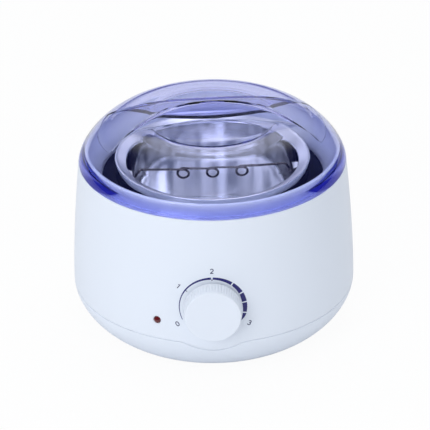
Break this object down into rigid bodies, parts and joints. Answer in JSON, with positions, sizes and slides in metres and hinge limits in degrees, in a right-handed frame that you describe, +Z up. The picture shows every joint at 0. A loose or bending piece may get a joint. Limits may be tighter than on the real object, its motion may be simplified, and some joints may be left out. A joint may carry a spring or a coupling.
{
  "type": "wax warmer",
  "caption": "Round electric wax warmer with a lift-out metal pot, a wire bar over its mouth, a tinted see-through lid with a bridge handle and a front dial.",
  "frame": {"origin": "on the table plane under the centre of the body", "axes": "+Z up, -Y towards the dial at the front, +X to the right seen from the front"},
  "size_m": [0.1808, 0.2012, 0.152],
  "materials": {
    "white_plastic": "glossy white",
    "tinted_plastic": "clear violet blue",
    "pot_metal": "polished",
    "well_metal": "satin",
    "steel": "plain",
    "wire_steel": "bright",
    "black_plastic": "matt black",
    "lens_red": "clear red",
    "lamp_glass": "clear",
    "foot_rubber": "matt",
    "heater_skin": "heat stained",
    "contact_brass": "plain",
    "block_ceramic": "matt",
    "thermostat_case": "matt",
    "lead_sleeve": "glass fibre sleeve",
    "plate_foil": "blank foil"
  },
  "bodies": {
    "base": {"housing_shell": "white_plastic", "base_cover": "white_plastic", "funnel_ring": "white_plastic", "insulating_ring": "black_plastic", "heater_well": "well_metal", "heater_band": "heater_skin", "band_clamp": "steel", "band_bolts": "steel", "heater_terminals": "contact_brass", "heat_shield": "steel", "thermal_fuse": "block_ceramic", "fuse_clip": "steel", "thermostat_body": "thermostat_case", "thermostat_tabs": "contact_brass", "thermostat_bracket": "steel", "thermostat_nut": "steel", "indicator_lens": "lens_red", "lamp_holder": "black_plastic", "indicator_lamp": "lamp_glass", "cord_gland": "white_plastic", "gland_nut": "white_plastic", "terminal_block": "block_ceramic", "terminal_screws": "contact_brass", "internal_leads": "lead_sleeve", "rubber_feet": "foot_rubber", "base_screws": "steel", "ring_screws": "steel", "bracket_screws": "steel", "rating_plate": "plate_foil"},
    "dial": {"knob": "white_plastic", "knob_spring": "steel", "thermostat_shaft": "steel"},
    "pot": {"wax_pot": "pot_metal", "pot_lugs": "pot_metal"},
    "wire": {"wire_bar": "wire_steel"},
    "cover": {"lid": "tinted_plastic"}
  },
  "joints": [
    {"name": "dial_turn", "type": "hinge", "parent": "base", "child": "dial", "pos_m": [0, -0.09, 0.053], "axis": [0, 1, 0], "range_deg": [0, 245]},
    {"name": "pot_lift", "type": "slide", "parent": "base", "child": "pot", "axis": [0, 0, 1], "range_m": [0, 0.1]},
    {"name": "wire_swing", "type": "hinge", "parent": "pot", "child": "wire", "pos_m": [0, 0, 0.0995], "axis": [0.9962, 0.0872, 0], "range_deg": [-90, 90]},
    {"name": "lid_lift", "type": "slide", "parent": "pot", "child": "cover", "axis": [0, 0, 1], "range_m": [0, 0.06]}
  ]
}
